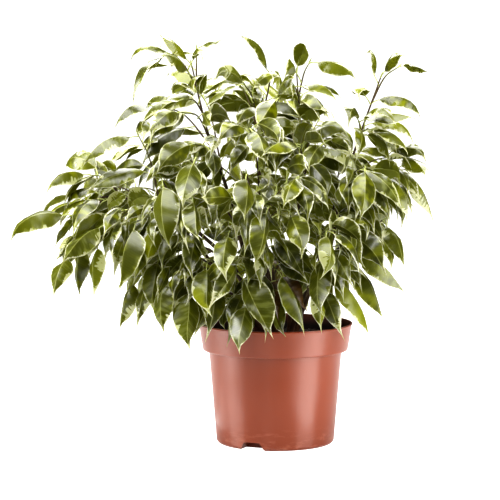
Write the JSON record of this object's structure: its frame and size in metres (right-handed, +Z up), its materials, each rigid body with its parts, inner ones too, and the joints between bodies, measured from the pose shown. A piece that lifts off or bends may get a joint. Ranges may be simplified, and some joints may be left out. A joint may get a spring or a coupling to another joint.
{
  "type": "weeping fig",
  "caption": "Bushy variegated weeping fig: arching leafy stems rooted in soil, in a plain round plastic nursery pot with a collar rim.",
  "frame": {"origin": "middle of the pot's flat underside, on the surface that it stands on", "axes": "+Z up along the pot's axis, -Y to the front, +X to the right as seen from the front"},
  "size_m": [0.386, 0.3221, 0.369],
  "materials": {
    "pot": "satin injection-moulded terracotta-coloured plastic",
    "soil": "moist peat potting soil",
    "foliage": "waxy green leaves with cream margins, on slim brown stems"
  },
  "bodies": {
    "root": {"pot": "pot", "soil": "soil", "stem_left": "foliage", "stem_upper_left": "foliage", "stem_top": "foliage", "stem_top_right": "foliage", "stem_right": "foliage", "stem_lower_right": "foliage", "stem_front": "foliage", "stem_front_left": "foliage", "stem_back": "foliage"}
  },
  "joints": []
}
